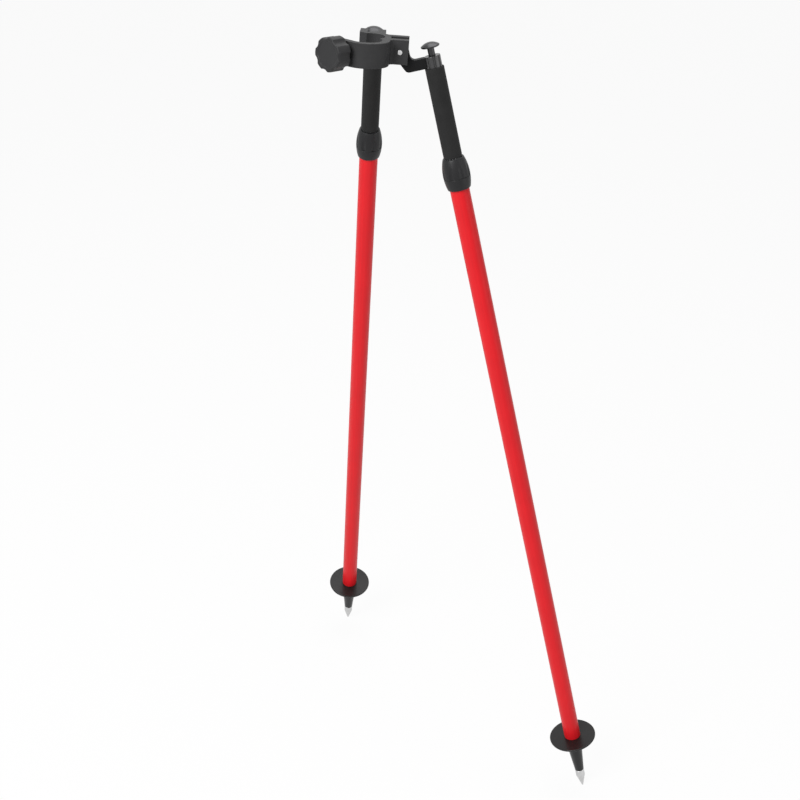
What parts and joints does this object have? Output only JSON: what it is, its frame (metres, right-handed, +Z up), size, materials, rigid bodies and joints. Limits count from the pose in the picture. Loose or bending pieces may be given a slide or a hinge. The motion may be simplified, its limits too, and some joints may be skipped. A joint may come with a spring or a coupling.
{
  "type": "prism pole bipod",
  "caption": "Two-legged survey pole support: open screw clamp for the pole, folding telescopic legs with thumb release, twist collars, step discs and steel points.",
  "frame": {"origin": "on the pole's axis at the mid height of the clamp", "axes": "+Z up along the pole, +Y away from the knob and between the legs, +X towards the right leg"},
  "size_m": [0.5956, 0.3966, 1.1505],
  "materials": {
    "clamp_coat": "satin charcoal coating on cast aluminium",
    "bracket_coat": "matt black coating",
    "knob_plastic": "moulded, fine grain",
    "steel": "bright turned",
    "brass": "turned",
    "rubber": "matt",
    "grip_rubber": "matt sleeve",
    "nylon": "moulded",
    "aluminium": "drawn tube, satin",
    "button_metal": "dark polished",
    "red_paint": "glossy red",
    "collar_plastic": "moulded, slight sheen",
    "foot_plastic": "moulded, satin gloss"
  },
  "bodies": {
    "head": {"clamp_body": "clamp_coat", "screw_insert": "brass", "right_pivot_pin": "steel", "right_friction_washers": "nylon", "left_pivot_pin": "steel", "left_friction_washers": "nylon"},
    "pad": {"pressure_pad": "steel", "pad_facing": "rubber"},
    "knob": {"clamp_screw": "steel", "clamp_knob": "knob_plastic"},
    "right_upper_leg": {"right_bracket": "bracket_coat", "right_bracket_rivets": "steel", "right_inner_tube": "aluminium", "right_grip": "grip_rubber", "right_return_spring": "steel", "right_lock_body": "aluminium", "right_guide_ring": "nylon"},
    "right_release": {"right_thumb_button": "button_metal", "right_push_rod": "steel", "right_lock_wedge": "brass"},
    "right_jaw_a": {"right_lock_jaw_a": "brass"},
    "right_jaw_b": {"right_lock_jaw_b": "brass"},
    "right_lower_leg": {"right_outer_tube": "red_paint", "right_collar_base": "collar_plastic", "right_collar_bush": "nylon", "right_step_disc": "foot_plastic", "right_foot_cone": "foot_plastic", "right_steel_point": "steel"},
    "right_collar": {"right_collar_nut": "collar_plastic"},
    "left_upper_leg": {"left_bracket": "bracket_coat", "left_bracket_rivets": "steel", "left_inner_tube": "aluminium", "left_grip": "grip_rubber", "left_return_spring": "steel", "left_lock_body": "aluminium", "left_guide_ring": "nylon"},
    "left_release": {"left_thumb_button": "button_metal", "left_push_rod": "steel", "left_lock_wedge": "brass"},
    "left_jaw_a": {"left_lock_jaw_a": "brass"},
    "left_jaw_b": {"left_lock_jaw_b": "brass"},
    "left_lower_leg": {"left_outer_tube": "red_paint", "left_collar_base": "collar_plastic", "left_collar_bush": "nylon", "left_step_disc": "foot_plastic", "left_foot_cone": "foot_plastic", "left_steel_point": "steel"},
    "left_collar": {"left_collar_nut": "collar_plastic"}
  },
  "joints": [
    {"name": "pad_slide", "type": "slide", "parent": "head", "child": "pad", "axis": [0, 1, 0], "range_m": [-0.01, 0.001]},
    {"name": "knob_turn", "type": "hinge", "parent": "pad", "child": "knob", "pos_m": [0, 0, 0], "axis": [0, 1, 0], "range_deg": [-2400, 240]},
    {"name": "right_leg_swing", "type": "hinge", "parent": "head", "child": "right_upper_leg", "pos_m": [0.02681, 0.0225, 0], "axis": [0.6428, -0.766, 0], "range_deg": [-16.25, 38.75]},
    {"name": "right_leg_extend", "type": "slide", "parent": "right_upper_leg", "child": "right_lower_leg", "axis": [0.2144, 0.1799, -0.96], "range_m": [0, 0.62]},
    {"name": "right_release_press", "type": "slide", "parent": "right_upper_leg", "child": "right_release", "axis": [0.2144, 0.1799, -0.96], "range_m": [0, 0.006], "stiffness_N_per_m": 900, "springref_m": -0.008, "deforming": ["right_return_spring"]},
    {"name": "right_jaw_a_slide", "type": "slide", "parent": "right_upper_leg", "child": "right_jaw_a", "axis": [-0.6428, 0.766, 0], "range_m": [-0.0006, 0]},
    {"name": "right_jaw_b_slide", "type": "slide", "parent": "right_upper_leg", "child": "right_jaw_b", "axis": [0.6428, -0.766, 0], "range_m": [-0.0006, 0]},
    {"name": "right_collar_twist", "type": "hinge", "parent": "right_lower_leg", "child": "right_collar", "pos_m": [0.08973, 0.07529, -0.15313], "axis": [0.2144, 0.1799, -0.96], "range_deg": [0, 90]},
    {"name": "left_leg_swing", "type": "hinge", "parent": "head", "child": "left_upper_leg", "pos_m": [-0.0225, 0.02681, 0], "axis": [0.766, 0.6428, 0], "range_deg": [-16.25, 38.75]},
    {"name": "left_leg_extend", "type": "slide", "parent": "left_upper_leg", "child": "left_lower_leg", "axis": [-0.1799, 0.2144, -0.96], "range_m": [0, 0.62]},
    {"name": "left_release_press", "type": "slide", "parent": "left_upper_leg", "child": "left_release", "axis": [-0.1799, 0.2144, -0.96], "range_m": [0, 0.006], "stiffness_N_per_m": 900, "springref_m": -0.008, "deforming": ["left_return_spring"]},
    {"name": "left_jaw_a_slide", "type": "slide", "parent": "left_upper_leg", "child": "left_jaw_a", "axis": [-0.766, -0.6428, 0], "range_m": [-0.0006, 0]},
    {"name": "left_jaw_b_slide", "type": "slide", "parent": "left_upper_leg", "child": "left_jaw_b", "axis": [0.766, 0.6428, 0], "range_m": [-0.0006, 0]},
    {"name": "left_collar_twist", "type": "hinge", "parent": "left_lower_leg", "child": "left_collar", "pos_m": [-0.07529, 0.08973, -0.15313], "axis": [-0.1799, 0.2144, -0.96], "range_deg": [0, 90]}
  ],
  "couplings": [
    {"joint": "knob_turn", "follows": "pad_slide", "rad_per_m": 4188.8},
    {"joint": "right_jaw_a_slide", "follows": "right_release_press", "ratio": -0.1},
    {"joint": "right_jaw_b_slide", "follows": "right_release_press", "ratio": -0.1},
    {"joint": "left_jaw_a_slide", "follows": "left_release_press", "ratio": -0.1},
    {"joint": "left_jaw_b_slide", "follows": "left_release_press", "ratio": -0.1}
  ]
}
